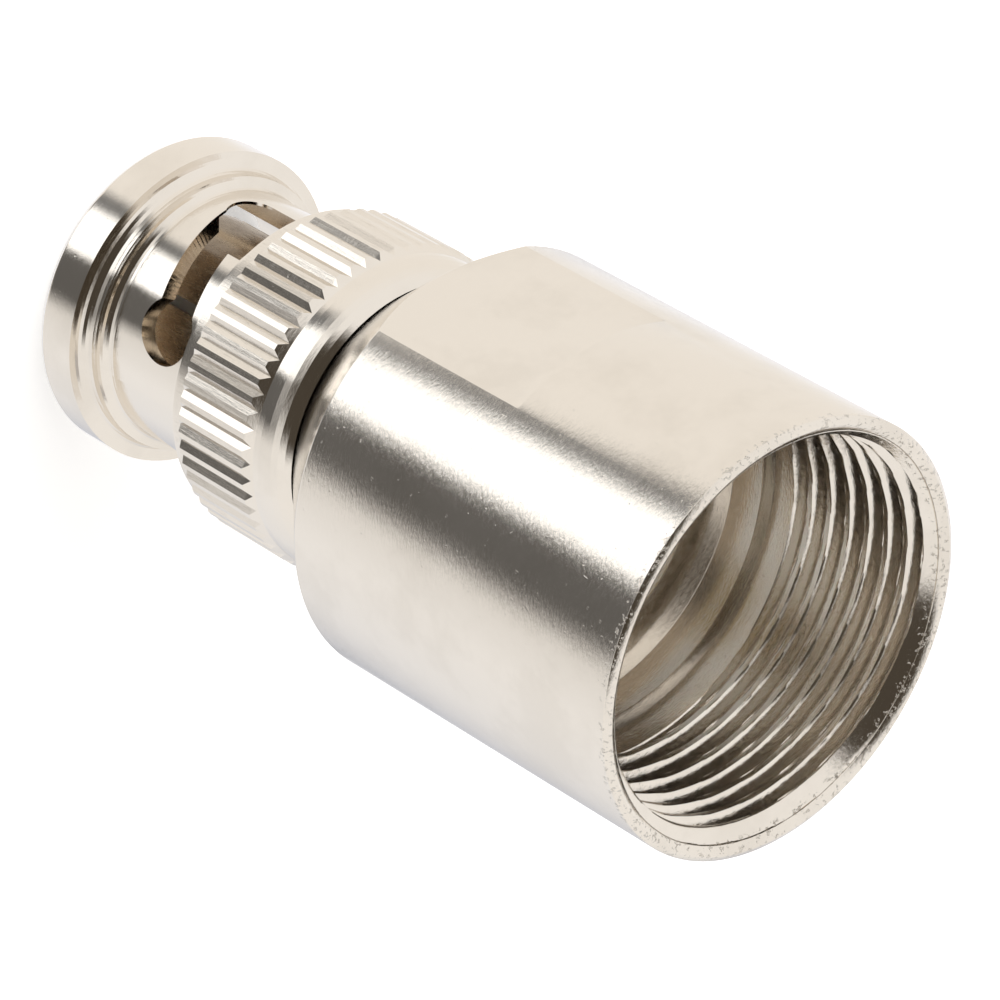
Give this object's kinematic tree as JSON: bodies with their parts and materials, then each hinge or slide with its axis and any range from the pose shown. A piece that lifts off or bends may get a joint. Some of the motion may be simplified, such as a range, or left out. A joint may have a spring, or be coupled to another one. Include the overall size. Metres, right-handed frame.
{
  "type": "bnc connector",
  "caption": "Bayonet coaxial cable plug: knurled coupling ring with ramp slots on a flatted barrel, internally threaded at the rear for a clamp nut.",
  "frame": {"origin": "centre of the nose face of the coupling ring, on the surface that the plug stands on", "axes": "+Z along the plug's axis from the nose to the threaded mouth; the two wrench flats face -Y and +Y"},
  "size_m": [0.0186, 0.0186, 0.037],
  "materials": {
    "nickel_satin": "satin nickel plate on turned brass",
    "nickel_bright": "bright nickel plate on turned brass",
    "contact_gold": "thin gold flash on turned brass",
    "ptfe": "machined white fluoroplastic",
    "silicone": "moulded red silicone",
    "spring_steel": "stamped stainless spring strip"
  },
  "bodies": {
    "plug_body": {"connector_body": "nickel_satin", "outer_contact": "contact_gold", "center_pin": "contact_gold", "front_insulator": "ptfe", "rear_insulator": "ptfe", "face_gasket": "silicone", "retaining_ring": "spring_steel", "wave_washer": "spring_steel"},
    "thrust_washer": {"flat_washer": "spring_steel"},
    "ring": {"coupling_ring": "nickel_bright"}
  },
  "joints": [
    {"name": "coupling_travel", "type": "slide", "parent": "plug_body", "child": "thrust_washer", "axis": [0, 0, -1], "range_m": [0, 0.0005], "stiffness_N_per_m": 5000, "springref_m": -0.0004, "deforming": ["wave_washer"]},
    {"name": "coupling_spin", "type": "hinge", "parent": "thrust_washer", "child": "ring", "pos_m": [0, 0, 0.0145], "axis": [0, 0, 1], "continuous": true}
  ]
}
